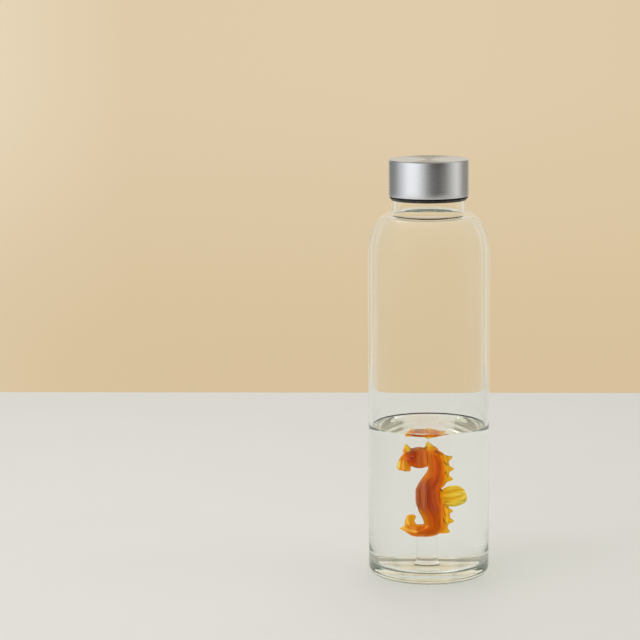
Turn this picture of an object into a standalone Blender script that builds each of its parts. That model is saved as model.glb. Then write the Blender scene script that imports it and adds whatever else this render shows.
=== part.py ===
"""Glass water bottle with a screw cap and a lampworked seahorse on a glass post inside.

Run with: blender --background --python part.py
The bottle stands on Z = 0 with its axis on Z. The seahorse lies in the XZ plane and faces -X.
Sizes below are in millimetres, and every mesh is scaled to metres as it is made.
"""

from math import cos, hypot, pi, radians, sin, tau

import bmesh
import bpy
from mathutils import Matrix, Vector

MM = 0.001
GAP = 0.3  # between neighbouring solids
DISC_RADIUS = 6.0  # of the flat disc in the middle of a turned piece

# The bottle's glass
BOTTLE_RADIUS = 32.5
BOTTLE_WALL = 2.0
BASE_THICKNESS = 5.5
BASE_PUSH_UP = 0.8
FOOT_INNER_RADIUS = 19.0
HEEL_RADIUS = 4.5
INNER_HEEL_RADIUS = 4.0
SHOULDER_START = 174.0
SHOULDER_TOP = 196.6
COLLAR_RADIUS = 19.75
COLLAR_TOP = 203.0
COLLAR_EDGE = 0.5
BEAD_HEIGHT = 0.5
FINISH_RADIUS = 17.9
MOUTH_RADIUS = 15.6
RIM_HEIGHT = 221.0
RIM_EDGE = 0.8
BOTTLE_SEGMENTS = 32

# The screw thread on the neck
THREAD_START = 206.5
THREAD_PITCH = 5.0
THREAD_TURNS = 1.6
THREAD_DEPTH = 0.8
THREAD_CREST = 0.5  # half height at the crest, then at the root
THREAD_ROOT = 1.2
THREAD_STEPS = 16  # per turn

# The cap: a steel shell pressed over a black insert, with a sealing disc
CAP_RADIUS = 21.4
CAP_BOTTOM = 205.4
CAP_TOP = 225.0
SHELL_WALL = 0.8
SHELL_EDGE = 1.0
SHELL_LIP = 0.3
INSERT_INNER_RADIUS = 19.0
INSERT_FLANGE_RADIUS = 20.9
INSERT_FLANGE_HEIGHT = 0.7
INSERT_CEILING = 1.2
INSERT_EDGE = 0.6
SEAL_THICKNESS = 1.1
SEAL_RADIUS = 18.6

# The clear post under the seahorse
POST_X = -0.7
POST_RADIUS = 4.4
POST_TOP = 25.0
POST_FOOT_FLARE = 1.2
POST_FOOT_HEIGHT = 2.2

# The seahorse's main rod, crown to tail tip: x, z, half width in XZ, half depth in Y
BODY = (
    (1.5, 69.3, 1.8, 1.9),
    (1.9, 67.2, 2.7, 2.7),
    (2.55, 64.4, 3.15, 3.1),
    (2.95, 61.0, 3.2, 3.2),
    (2.95, 57.6, 3.5, 3.4),
    (2.2, 54.0, 4.2, 3.8),
    (0.8, 50.8, 4.45, 4.1),
    (-0.2, 47.6, 4.8, 4.3),
    (-0.2, 44.2, 5.1, 4.4),
    (0.0, 40.8, 5.15, 4.3),
    (0.8, 37.2, 5.2, 4.2),
    (1.75, 33.8, 4.9, 4.0),
    (2.35, 30.4, 4.5, 3.8),
    (2.3, 27.2, 4.2, 3.7),
    (0.2, 25.1, 3.5, 3.4),
    (-2.9, 24.8, 3.25, 3.2),
    (-5.7, 25.3, 2.95, 2.8),
    (-7.4, 27.4, 2.3, 2.2),
    (-7.85, 29.5, 1.85, 1.8),
    (-7.6, 31.2, 1.75, 1.7),
    (-7.05, 32.15, 1.7, 1.6),
    (-6.5, 32.45, 1.5, 1.45),
)
SKULL = (-3.9, 65.05, 5.4, 3.7, 5.7)  # x, z, then half sizes in X, Y and Z
SNOUT = (
    (-6.6, 65.4, 4.0, 3.3),
    (-8.6, 63.8, 3.1, 2.7),
    (-9.5, 62.0, 2.5, 2.2),
    (-10.1, 60.6, 2.4, 2.0),
    (-10.65, 59.35, 2.75, 2.15),
    (-11.0, 58.65, 3.05, 2.3),
)
MOUTH_HOLLOW = (-12.3, 57.2, 1.9, 1.6)  # x, z, half size in XZ and in Y
EYE = (-7.0, 65.2, 1.3, 0.9)  # x, z, radius, half depth
EYE_OFFSET = 2.85  # from the middle plane to an eye's centre
FIN = (
    (3.4, 43.4, 3.2, 1.35),
    (5.6, 43.4, 4.1, 1.3),
    (7.6, 43.6, 5.2, 1.2),
    (9.9, 43.8, 5.7, 1.1),
    (12.0, 44.2, 5.35, 0.95),
    (13.8, 44.5, 4.1, 0.8),
    (14.8, 44.7, 2.5, 0.6),
)
FIN_RIBS = 5
NECK_CREST = (
    (2.6, 68.4, 1.1, 1.1),
    (4.6, 66.2, 1.7, 1.2),
    (5.8, 63.2, 1.9, 1.3),
    (6.2, 60.0, 1.9, 1.3),
    (6.2, 56.8, 1.9, 1.3),
    (5.6, 53.2, 1.9, 1.3),
    (4.5, 49.9, 1.3, 1.2),
)
TAIL_CREST = (
    (4.4, 46.0, 1.0, 1.1),
    (5.0, 42.0, 1.6, 1.2),
    (5.8, 38.0, 1.8, 1.3),
    (6.4, 34.0, 1.8, 1.3),
    (6.4, 29.8, 1.8, 1.3),
    (5.3, 26.0, 1.6, 1.2),
)
# Points: base x, z, tip x, z, half width at the base
CROWN_SPIKE = (1.3, 68.6, -0.4, 73.7, 2.5)
NOSE_HORN = (-8.4, 68.1, -9.2, 71.9, 1.9)
TAIL_BARB = (-6.6, 25.2, -11.9, 26.0, 2.3)
BACK_SPIKES = (
    (5.7, 64.3, 9.7, 65.7, 2.1),
    (6.0, 59.4, 10.4, 58.9, 2.2),
    (5.7, 54.1, 10.1, 53.5, 2.3),
    (5.8, 35.9, 10.3, 35.6, 1.8),
    (6.1, 31.0, 10.4, 30.3, 2.1),
    (5.0, 26.3, 8.7, 24.3, 2.5),
)
SPIKE_TIP = 0.35  # half width at a tip
DOME_ANGLES = (0, radians(35), radians(68))  # of the rings in a rod's rounded end
# The belly's cross ribs follow the front of the trunk
BELLY_RIBS = 9
BELLY_TOP = 48.0
BELLY_BOTTOM = 38.6
BELLY_RIB = (1.0, 2.6, 0.75)  # half sizes in X, Y and Z

# Thin cuts that part the seahorse, each a line in XZ that runs through it along Y
CUTS = (
    ((-0.7, 70.5), (-0.6, 66.0), (-0.6, 60.4)),  # head and neck
    ((-1.9, 70.9), (4.6, 68.3)),  # crown
    ((-11.4, 68.5), (-6.8, 70.4)),  # nose horn
    ((-11.6, 66.2), (-7.3, 59.6)),  # head and snout
    ((-13.5, 62.2), (-7.6, 57.5)),  # snout and mouth
    ((-6.0, 51.6), (7.6, 49.2)),  # neck and trunk
    ((5.7, 50.4), (5.4, 47.0), (6.0, 43.0), (7.0, 39.2), (8.8, 37.8)),  # fin
    ((-6.6, 35.8), (8.8, 37.7)),  # trunk and tail
    ((-6.6, 49.7), (-3.4, 48.4), (-3.2, 43.6), (-2.7, 38.4), (-5.6, 36.5)),  # belly
    ((-2.7, 29.6), (1.2, 20.9)),  # tail base and bend
    ((-11.2, 28.5), (-5.2, 29.4)),  # tail bend and curl
)
CRUMB = 12  # points of the largest chip that a cut may break off a facet, which is dropped
# Each part's name, by the middle of the solid it names
PARTS = {
    "seahorse_head": (-4.6, 65.2),
    "seahorse_snout": (-9.6, 62.6),
    "seahorse_mouth": (-11.0, 59.4),
    "seahorse_nose_horn": (-9.0, 70.3),
    "seahorse_crown": (0.6, 70.6),
    "seahorse_neck": (3.6, 59.5),
    "seahorse_trunk": (0.8, 43.5),
    "seahorse_belly": (-4.2, 43.1),
    "seahorse_dorsal_fin": (10.2, 44.0),
    "seahorse_tail_base": (3.6, 31.5),
    "seahorse_tail_bend": (-5.5, 26.0),
    "seahorse_tail_curl": (-7.6, 31.5),
}
# Base colour, roughness, metallic and, where it is clear, transmission
COLOURS = {
    "bottle_glass": ((0.93, 0.96, 0.94), 0.03, 0.0, 1.0),
    "glass_post": ((0.93, 0.96, 0.94), 0.05, 0.0, 1.0),
    "cap_shell": ((0.52, 0.53, 0.55), 0.32, 1.0, 0.0),
    "cap_insert": ((0.02, 0.02, 0.022), 0.5, 0.0, 0.0),
    "cap_seal": ((0.6, 0.6, 0.58), 0.6, 0.0, 0.0),
    "seahorse_head": ((0.60, 0.13, 0.02), 0.12, 0.0, 0.0),
    "seahorse_snout": ((0.72, 0.26, 0.02), 0.12, 0.0, 0.0),
    "seahorse_mouth": ((0.80, 0.52, 0.12), 0.12, 0.0, 0.0),
    "seahorse_nose_horn": ((0.82, 0.55, 0.10), 0.12, 0.0, 0.0),
    "seahorse_crown": ((0.80, 0.42, 0.04), 0.12, 0.0, 0.0),
    "seahorse_neck": ((0.65, 0.17, 0.01), 0.12, 0.0, 0.0),
    "seahorse_trunk": ((0.40, 0.06, 0.01), 0.12, 0.0, 0.0),
    "seahorse_belly": ((0.45, 0.10, 0.03), 0.15, 0.0, 0.0),
    "seahorse_dorsal_fin": ((0.80, 0.50, 0.03), 0.12, 0.0, 0.0),
    "seahorse_tail_base": ((0.60, 0.16, 0.01), 0.12, 0.0, 0.0),
    "seahorse_tail_bend": ((0.72, 0.24, 0.01), 0.12, 0.0, 0.0),
    "seahorse_tail_curl": ((0.80, 0.38, 0.02), 0.12, 0.0, 0.0),
    "seahorse_eye_left": ((0.30, 0.02, 0.01), 0.05, 0.0, 0.0),
    "seahorse_eye_right": ((0.30, 0.02, 0.01), 0.05, 0.0, 0.0),
}


def clear_scene():
    for obj in list(bpy.data.objects):
        bpy.data.objects.remove(obj, do_unlink=True)


def material(name):
    colour, roughness, metallic, transmission = COLOURS[name]
    made = bpy.data.materials.new(name)
    made.use_nodes = True
    sockets = made.node_tree.nodes["Principled BSDF"].inputs
    sockets["Base Color"].default_value = (*colour, 1.0)
    sockets["Roughness"].default_value = roughness
    sockets["Metallic"].default_value = metallic
    sockets["Transmission Weight"].default_value = transmission
    return made


def mesh_object(name, points, faces):
    """An object of a closed mesh, with points in millimetres and its faces turned outwards."""
    shape = bmesh.new()
    verts = [shape.verts.new(Vector(p) * MM) for p in points]
    for face in faces:
        shape.faces.new([verts[i] for i in face])
    bmesh.ops.recalc_face_normals(shape, faces=shape.faces)
    mesh = bpy.data.meshes.new(name)
    shape.to_mesh(mesh)
    shape.free()
    return add_object(name, mesh)


def add_object(name, mesh):
    mesh.shade_smooth()
    mesh.set_sharp_from_angle(angle=radians(40))
    obj = bpy.data.objects.new(name, mesh)
    bpy.context.scene.collection.objects.link(obj)
    if name in COLOURS:
        mesh.materials.clear()
        mesh.materials.append(material(name))
    return obj


def skin(name, rings):
    """Equal rings of points joined in order, with flat ends."""
    count = len(rings[0])
    faces = [range(count), range((len(rings) - 1) * count, len(rings) * count)]
    for low in range(0, (len(rings) - 1) * count, count):
        for j in range(count):
            k = (j + 1) % count
            faces.append((low + j, low + k, low + count + k, low + count + j))
    return mesh_object(name, [point for ring in rings for point in ring], faces)


def turned(name, profile, segments):
    """A profile of (radius, height) turned round Z, closed by a disc at each end."""
    turns = [tau * i / segments for i in range(segments)]
    rings = [[(r * cos(a), r * sin(a), z) for a in turns] for r, z in profile]
    return skin(name, rings)


def arc(x, z, rx, rz, start, end, steps):
    """Points of an ellipse's arc about (x, z), in degrees from +X towards +Z."""
    turns = [radians(start + (end - start) * i / steps) for i in range(steps + 1)]
    return [(x + rx * cos(a), z + rz * sin(a)) for a in turns]


def between(stations, steps):
    """Catmull-Rom points through the stations, with steps spans for each pair."""
    found = []
    last = len(stations) - 1
    for i in range(last):
        a, b, c, d = (stations[min(max(i + k, 0), last)] for k in (-1, 0, 1, 2))
        for step in range(steps):
            t = step / steps
            found.append(tuple(
                0.5 * (2 * q + (r - p) * t + (2 * p - 5 * q + 4 * r - s) * t * t
                       + (3 * q - p - 3 * r + s) * t ** 3)
                for p, q, r, s in zip(a, b, c, d)
            ))
    return found + [stations[-1]]


def section(centre, across, width, depth, sides, ribs=0):
    """An ellipse about centre, wide along across and deep along Y, with ribs along its flanks."""
    ring = []
    for j in range(sides):
        a = tau * j / sides
        swell = 1 + 0.16 * cos(pi * ribs * cos(a)) if ribs else 1
        ring.append(centre + across * width * cos(a) + Vector((0, depth * swell * sin(a), 0)))
    return ring


def rod(name, stations, steps=2, sides=14, ribs=0, grow=0.0, ends=(1.0, 1.0)):
    """A glass rod through stations of x, z, half width and half depth.

    Its ends are domes, each as long as its share in ends of the rod's half width there.
    """
    line = between(stations, steps)
    centres = [Vector((x, 0, z)) for x, z, _, _ in line]
    ways = [
        (centres[min(i + 1, len(line) - 1)] - centres[max(i - 1, 0)]).normalized()
        for i in range(len(line))
    ]
    rings = []
    for i, (centre, way) in enumerate(zip(centres, ways)):
        across = Vector((-way.z, 0, way.x))
        width, depth = line[i][2] + grow, line[i][3] + grow
        if 0 < i < len(line) - 1:
            rings.append(section(centre, across, width, depth, sides, ribs))
            continue
        out = way * width * (-ends[0] if i == 0 else ends[1])
        dome = [
            section(centre + out * sin(a), across, width * cos(a), depth * cos(a), sides, ribs)
            for a in DOME_ANGLES
        ]
        rings += dome[::-1] if i == 0 else dome
    return skin(name, rings)


def spike(name, base_x, base_z, tip_x, tip_z, width, bend=0.0):
    """A drawn-out point of glass from a broad base, bent by a share of its length."""
    base, tip = Vector((base_x, base_z)), Vector((tip_x, tip_z))
    sag = Vector((base_z - tip_z, tip_x - base_x)) * bend
    stations = []
    for share, size in ((0, 1), (0.3, 0.84), (0.6, 0.5), (0.82, 0.26), (1, 0)):
        at = base.lerp(tip, share) + sag * sin(pi * share)
        half = SPIKE_TIP + (width - SPIKE_TIP) * size
        stations.append((at.x, at.y, half, min(half, 1.3)))
    return rod(name, stations, steps=1, sides=8)


def blob(name, centre, half_sizes, rings, segments):
    """An ellipsoid made from a sphere."""
    shape = bmesh.new()
    size = Vector(half_sizes) * MM
    place = Matrix.Translation(Vector(centre) * MM) @ Matrix.Diagonal((*size, 1.0))
    bmesh.ops.create_uvsphere(shape, u_segments=segments, v_segments=rings, radius=1, matrix=place)
    mesh = bpy.data.meshes.new(name)
    shape.to_mesh(mesh)
    shape.free()
    return add_object(name, mesh)


def wall(name, line):
    """A thin sheet that stands on a line in XZ and runs through the seahorse along Y."""
    points = [Vector(p) for p in line]
    sides = ([], [])
    for i, point in enumerate(points):
        way = (points[min(i + 1, len(points) - 1)] - points[max(i - 1, 0)]).normalized()
        for side, sign in zip(sides, (1, -1)):
            side.append(point + Vector((-way.y, way.x)) * sign * GAP / 2)
    outline = sides[0] + sides[1][::-1]
    reach = 9.0
    rings = [[(p.x, y, p.y) for p in outline] for y in (-reach, reach)]
    return skin(name, rings)


def combine(obj, other, operation):
    """A live Boolean, whose other object is a hidden helper.

    It uses the Manifold solver, as Exact now and then loses one of many separate solids.
    """
    other.hide_render = True
    other.display_type = "WIRE"
    boolean = obj.modifiers.new(f"{operation.lower()} {other.name}", "BOOLEAN")
    boolean.operation = operation
    boolean.solver = "MANIFOLD"
    boolean.object = other


def evaluated_mesh(obj):
    bpy.context.view_layer.update()
    return bpy.data.meshes.new_from_object(obj.evaluated_get(bpy.context.evaluated_depsgraph_get()))


def make_bottle():
    foot = [(DISC_RADIUS, BASE_PUSH_UP), (FOOT_INNER_RADIUS - 3, BASE_PUSH_UP), (FOOT_INNER_RADIUS, 0.0)]
    heel = arc(BOTTLE_RADIUS - HEEL_RADIUS, HEEL_RADIUS, HEEL_RADIUS, HEEL_RADIUS, -90, 0, 3)
    run_in = BOTTLE_RADIUS - COLLAR_RADIUS
    rise = SHOULDER_TOP - SHOULDER_START
    shoulder = arc(COLLAR_RADIUS, SHOULDER_START, run_in, rise, 0, 84, 6)
    bead = [
        (COLLAR_RADIUS + BEAD_HEIGHT, SHOULDER_TOP + BEAD_HEIGHT),
        (COLLAR_RADIUS, SHOULDER_TOP + 3 * BEAD_HEIGHT),
    ]
    finish = [
        (COLLAR_RADIUS, COLLAR_TOP - COLLAR_EDGE),
        (COLLAR_RADIUS - COLLAR_EDGE, COLLAR_TOP),
        (FINISH_RADIUS, COLLAR_TOP + 2 * COLLAR_EDGE),
        (FINISH_RADIUS, RIM_HEIGHT - RIM_EDGE),
        (FINISH_RADIUS - RIM_EDGE, RIM_HEIGHT),
        (MOUTH_RADIUS + RIM_EDGE, RIM_HEIGHT),
        (MOUTH_RADIUS, RIM_HEIGHT - RIM_EDGE),
    ]
    inner_radius = BOTTLE_RADIUS - BOTTLE_WALL
    inner_run = inner_radius - MOUTH_RADIUS
    inner_shoulder = arc(MOUTH_RADIUS, SHOULDER_START, inner_run, rise - BOTTLE_WALL, 90, 0, 6)
    inner_heel = arc(
        inner_radius - INNER_HEEL_RADIUS, BASE_THICKNESS + INNER_HEEL_RADIUS,
        INNER_HEEL_RADIUS, INNER_HEEL_RADIUS, 0, -90, 2,
    )
    floor = [(DISC_RADIUS, BASE_THICKNESS)]
    profile = foot + heel + shoulder + bead + finish + inner_shoulder + inner_heel + floor
    bottle = turned("bottle_glass", profile, BOTTLE_SEGMENTS)
    combine(bottle, make_thread(), "UNION")


def make_thread():
    """A rounded ridge that climbs round the neck and sinks into it at both ends."""
    steps = int(THREAD_STEPS * THREAD_TURNS)
    sunk = THREAD_DEPTH * 0.6
    rings = []
    for i in range(steps + 1):
        turn = tau * i / THREAD_STEPS
        height = THREAD_START + THREAD_PITCH * i / THREAD_STEPS
        run_out = min(1.0, i / 4, (steps - i) / 4)
        root = FINISH_RADIUS - 2 * sunk
        crest = FINISH_RADIUS - sunk + (THREAD_DEPTH + sunk) * run_out
        shape = ((root, -THREAD_ROOT), (crest, -THREAD_CREST), (crest, THREAD_CREST), (root, THREAD_ROOT))
        rings.append([(r * cos(turn), r * sin(turn), height + up) for r, up in shape])
    return skin("thread_ridge", rings)


def make_cap():
    """The shell, the insert inside it and the sealing disc, from the outside in."""
    inner = CAP_RADIUS - SHELL_WALL
    ceiling = CAP_TOP - SHELL_WALL
    corner = arc(CAP_RADIUS - SHELL_EDGE, CAP_TOP - SHELL_EDGE, SHELL_EDGE, SHELL_EDGE, 0, 90, 3)
    turned("cap_shell", [
        (DISC_RADIUS, ceiling), (inner - SHELL_LIP, ceiling), (inner, ceiling - SHELL_LIP),
        (inner, CAP_BOTTOM), (CAP_RADIUS - SHELL_LIP, CAP_BOTTOM), (CAP_RADIUS, CAP_BOTTOM + SHELL_LIP),
        *corner, (DISC_RADIUS, CAP_TOP),
    ], BOTTLE_SEGMENTS)
    outer = inner - GAP
    top = ceiling - GAP
    under = top - INSERT_CEILING
    flange = CAP_BOTTOM - GAP
    lowest = COLLAR_TOP + GAP
    slope = flange - INSERT_FLANGE_HEIGHT - lowest
    turned("cap_insert", [
        (DISC_RADIUS, top), (outer - INSERT_EDGE, top), (outer, top - INSERT_EDGE), (outer, flange),
        (INSERT_FLANGE_RADIUS, flange), (INSERT_FLANGE_RADIUS, flange - INSERT_FLANGE_HEIGHT),
        (INSERT_FLANGE_RADIUS - slope, lowest), (INSERT_INNER_RADIUS, lowest),
        (INSERT_INNER_RADIUS, under), (DISC_RADIUS, under),
    ], BOTTLE_SEGMENTS)
    seal_top = under - GAP
    seal_bottom = seal_top - SEAL_THICKNESS
    turned("cap_seal", [
        (DISC_RADIUS, seal_top), (SEAL_RADIUS, seal_top),
        (SEAL_RADIUS, seal_bottom), (DISC_RADIUS, seal_bottom),
    ], BOTTLE_SEGMENTS)


def make_post():
    bottom = BASE_THICKNESS + GAP
    profile = [
        (POST_RADIUS + POST_FOOT_FLARE, bottom),
        (POST_RADIUS + POST_FOOT_FLARE / 3, bottom + POST_FOOT_HEIGHT / 3),
        (POST_RADIUS, bottom + POST_FOOT_HEIGHT),
        (POST_RADIUS, POST_TOP),
    ]
    post = turned("glass_post", profile, BOTTLE_SEGMENTS)
    post.data.transform(Matrix.Translation((POST_X * MM, 0, 0)))
    combine(post, rod("post_saddle", BODY[11:18], grow=GAP), "DIFFERENCE")


def belly_front(height):
    """How far forward the rod's front lies at a height."""
    for (x0, z0, w0, _), (x1, z1, w1, _) in zip(BODY, BODY[1:]):
        if z1 <= height <= z0:
            share = (z0 - height) / (z0 - z1)
            return x0 - w0 + (x1 - w1 - x0 + w0) * share
    return 0.0


def figure_pieces():
    """The rods, drops and points of glass that make the seahorse."""
    x, z, *half = SKULL
    pieces = [
        blob("skull", (x, 0, z), half, rings=11, segments=14),
        rod("snout", SNOUT, ends=(1.0, 0.15)),
        rod("neck_crest", NECK_CREST, steps=1, sides=8),
        rod("tail_crest", TAIL_CREST, steps=1, sides=8),
        rod("fin", FIN, steps=1, sides=28, ribs=FIN_RIBS, ends=(0.2, 0.2)),
        spike("crown_spike", *CROWN_SPIKE, bend=0.06),
        spike("nose_horn", *NOSE_HORN),
        spike("tail_barb", *TAIL_BARB, bend=-0.06),
    ]
    pieces += [spike(f"back_spike_{i}", *s, bend=-0.07) for i, s in enumerate(BACK_SPIKES)]
    step = (BELLY_TOP - BELLY_BOTTOM) / (BELLY_RIBS - 1)
    for i in range(BELLY_RIBS):
        height = BELLY_TOP - i * step
        centre = (belly_front(height) + BELLY_RIB[0] * 0.7, 0, height)
        pieces.append(blob(f"belly_rib_{i}", centre, BELLY_RIB, rings=5, segments=8))
    return pieces


def islands(mesh):
    """The separate solids in a mesh, each as its own mesh."""
    shape = bmesh.new()
    shape.from_mesh(mesh)
    left = set(shape.verts)
    found = []
    while left:
        group, edge = set(), [left.pop()]
        while edge:
            vert = edge.pop()
            group.add(vert)
            near = {e.other_vert(vert) for e in vert.link_edges} & left
            left -= near
            edge += near
        part = shape.copy()
        keep = {v.index for v in group}
        bmesh.ops.delete(part, geom=[v for v in part.verts if v.index not in keep], context="VERTS")
        made = bpy.data.meshes.new("solid")
        part.to_mesh(made)
        part.free()
        found.append(made)
    shape.free()
    return found


def distance(mesh, x, z):
    """From the middle of a mesh's box to (x, z), in millimetres."""
    centre = [(min(values) + max(values)) / 2 / MM for values in zip(*(v.co for v in mesh.vertices))]
    return hypot(centre[0] - x, centre[2] - z)


def make_seahorse():
    whole = rod("whole_seahorse", BODY)
    for piece in figure_pieces():
        combine(whole, piece, "UNION")
    x, z, half, depth = MOUTH_HOLLOW
    combine(whole, blob("mouth_hollow", (x, 0, z), (half, depth, half), rings=8, segments=12), "DIFFERENCE")
    for i, line in enumerate(CUTS):
        combine(whole, wall(f"cut_{i}", line), "DIFFERENCE")
    solids = [solid for solid in islands(evaluated_mesh(whole)) if len(solid.vertices) > CRUMB]
    whole.hide_render = True
    whole.display_type = "WIRE"
    if len(solids) != len(PARTS):
        raise ValueError(f"the cuts leave {len(solids)} solids for {len(PARTS)} names")
    for name, (x, z) in PARTS.items():
        nearest = min(solids, key=lambda solid: distance(solid, x, z))
        solids.remove(nearest)
        part = add_object(name, nearest)
        if name == "seahorse_head":
            make_eyes(part)


def make_eyes(head):
    x, z, radius, depth = EYE
    for name, side in (("seahorse_eye_left", 1), ("seahorse_eye_right", -1)):
        centre = (x, side * EYE_OFFSET, z)
        blob(name, centre, (radius, depth, radius), rings=6, segments=12)
        room = (radius + GAP, depth + GAP, radius + GAP)
        socket = blob(f"{name}_socket", centre, room, rings=6, segments=12)
        combine(head, socket, "DIFFERENCE")


clear_scene()
make_bottle()
make_cap()
make_post()
make_seahorse()
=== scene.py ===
# A glass water bottle with a lampworked seahorse inside: fine shapes, finishes, light and camera.
# Lengths of the pieces are in millimetres, angles in degrees, and colours are sRGB from 0 to 255.
from math import cos, pi, radians, sin, tau

import bmesh
import bpy
import numpy as np
from mathutils import Matrix, Vector
from mathutils.bvhtree import BVHTree


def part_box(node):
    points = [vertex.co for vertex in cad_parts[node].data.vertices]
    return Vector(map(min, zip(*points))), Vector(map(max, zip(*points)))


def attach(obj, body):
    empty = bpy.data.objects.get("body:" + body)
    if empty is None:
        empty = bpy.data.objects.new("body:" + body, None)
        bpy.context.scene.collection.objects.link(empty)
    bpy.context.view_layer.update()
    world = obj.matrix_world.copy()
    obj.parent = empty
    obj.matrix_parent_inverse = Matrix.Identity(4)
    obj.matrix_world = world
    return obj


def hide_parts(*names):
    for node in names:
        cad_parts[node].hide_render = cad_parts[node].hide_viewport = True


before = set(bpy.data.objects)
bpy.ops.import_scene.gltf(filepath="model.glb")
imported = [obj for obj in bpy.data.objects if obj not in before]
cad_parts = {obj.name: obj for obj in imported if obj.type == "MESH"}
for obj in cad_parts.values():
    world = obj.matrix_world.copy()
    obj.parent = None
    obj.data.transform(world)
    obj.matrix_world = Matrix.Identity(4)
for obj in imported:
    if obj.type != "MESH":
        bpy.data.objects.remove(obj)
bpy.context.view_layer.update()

mm = 0.001


def linear(colour, alpha=1.0):
    parts = [c / 255 for c in colour]
    return (*[c / 12.92 if c <= 0.04045 else ((c + 0.055) / 1.055) ** 2.4 for c in parts], alpha)


def boxOf(node):  # a CAD node's corners in millimetres
    low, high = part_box(node)
    return Vector(low) / mm, Vector(high) / mm


def newObject(name, data):
    obj = bpy.data.objects.new(name, data)
    bpy.context.scene.collection.objects.link(obj)
    return obj


def tell(stage, *pieces):
    print(stage, sum(len(piece.data.polygons) for piece in pieces), "faces")


class Wire:  # one output socket, so that node maths reads as an expression
    def __init__(self, graph, socket):
        self.graph = graph
        self.socket = socket

    def __add__(self, value):
        return self.graph.maths("ADD", self, value)

    def __radd__(self, value):
        return self.graph.maths("ADD", value, self)

    def __sub__(self, value):
        return self.graph.maths("SUBTRACT", self, value)

    def __rsub__(self, value):
        return self.graph.maths("SUBTRACT", value, self)

    def __mul__(self, value):
        return self.graph.maths("MULTIPLY", self, value)

    def __rmul__(self, value):
        return self.graph.maths("MULTIPLY", value, self)

    def __truediv__(self, value):
        return self.graph.maths("DIVIDE", self, value)

    def __rtruediv__(self, value):
        return self.graph.maths("DIVIDE", value, self)

    def other(self, name):  # another output of the same node
        return Wire(self.graph, next(s for s in self.socket.node.outputs if s.enabled and s.name == name))


class Graph:  # a node tree, of a material, the world or Geometry Nodes, and how nodes are added to it
    def __init__(self, tree):
        self.tree = tree

    def add(self, kind, settings=None, *inOrder, **named):
        # values and links for the sockets in their order, or by name without its spaces, as in BaseColor
        node = self.tree.nodes.new(kind)
        for name, value in (settings or {}).items():
            if name == "stops":
                self.setStops(node.color_ramp.elements, value)
            else:
                setattr(node, name, value)
        for socket, value in zip(node.inputs, inOrder):
            self.feed(socket, value)
        for name, value in named.items():
            socket = next(s for s in node.inputs if s.enabled and s.name.replace(" ", "") == name)
            self.feed(socket, value)
        return Wire(self, next((s for s in node.outputs if s.enabled), None))

    def feed(self, socket, value):
        if isinstance(value, Wire):
            self.tree.links.new(value.socket, socket)
        else:
            socket.default_value = value

    def setStops(self, elements, stops):
        while len(elements) < len(stops):
            elements.new(1.0)
        for element, (place, colour) in zip(elements, stops):
            element.position = place
            element.color = linear(colour)

    def maths(self, operation, *values):
        return self.add("ShaderNodeMath", {"operation": operation}, *values)

    def clamp(self, value):
        return self.maths("MINIMUM", self.maths("MAXIMUM", value, 0.0), 1.0)

    def fade(self, value, start, end):  # 0 at start, 1 at end, with an eased run between
        return self.add("ShaderNodeMapRange", {"interpolation_type": "SMOOTHSTEP"},
                        Value=value, FromMin=start, FromMax=end)

    def blend(self, share, first, second, mode="MIX"):
        return self.add("ShaderNodeMix", {"data_type": "RGBA", "blend_type": mode},
                        Factor=share, A=first, B=second)

    def times(self, colour, factor):
        return self.blend(1.0, colour, (factor,) * 3 + (1.0,), "MULTIPLY")

    def ramp(self, stops, at):
        return self.add("ShaderNodeValToRGB", {"stops": stops}, Fac=at)

    def apart(self, vector):
        return self.add("ShaderNodeSeparateXYZ", Vector=vector)

    def noise(self, vector, scale, detail=3.0, roughness=0.5):
        return self.add("ShaderNodeTexNoise", Vector=vector, Scale=scale, Detail=detail,
                        Roughness=roughness)

    def place(self, centre=(0, 0, 0), scale=(1, 1, 1)):  # Object coordinates about a point
        at = self.add("ShaderNodeTexCoord").other("Object")
        return self.add("ShaderNodeMapping", Vector=at, Location=[-c * s for c, s in zip(centre, scale)],
                        Scale=scale)

    def bump(self, height, distance):
        return self.add("ShaderNodeBump", Height=height, Distance=distance, Strength=1.0)

    def finish(self, **sockets):  # one Principled shader, straight to the material's output
        self.add("ShaderNodeOutputMaterial", Surface=self.add("ShaderNodeBsdfPrincipled", **sockets))


def newMaterial(name):
    made = bpy.data.materials.new(name)
    made.use_nodes = True
    made.node_tree.nodes.clear()
    return made, Graph(made.node_tree)


# finishes
glassLook = {
    "tint": (254, 255, 254), "ior": 1.47, "shadow": (246, 249, 246), "mirror": 0.10,
    "ripple": 0.02, "depthColour": (206, 226, 206), "depthDensity": 4.0,
}
waterLook = {
    "tint": (255, 255, 255), "ior": 1.333, "shadow": (252, 253, 252), "mirror": 0.05, "ripple": 0.0,
}
postLook = {
    "tint": (254, 254, 254), "ior": 1.105, "shadow": (252, 253, 252), "mirror": 1.0, "ripple": 0.0,
}


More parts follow.
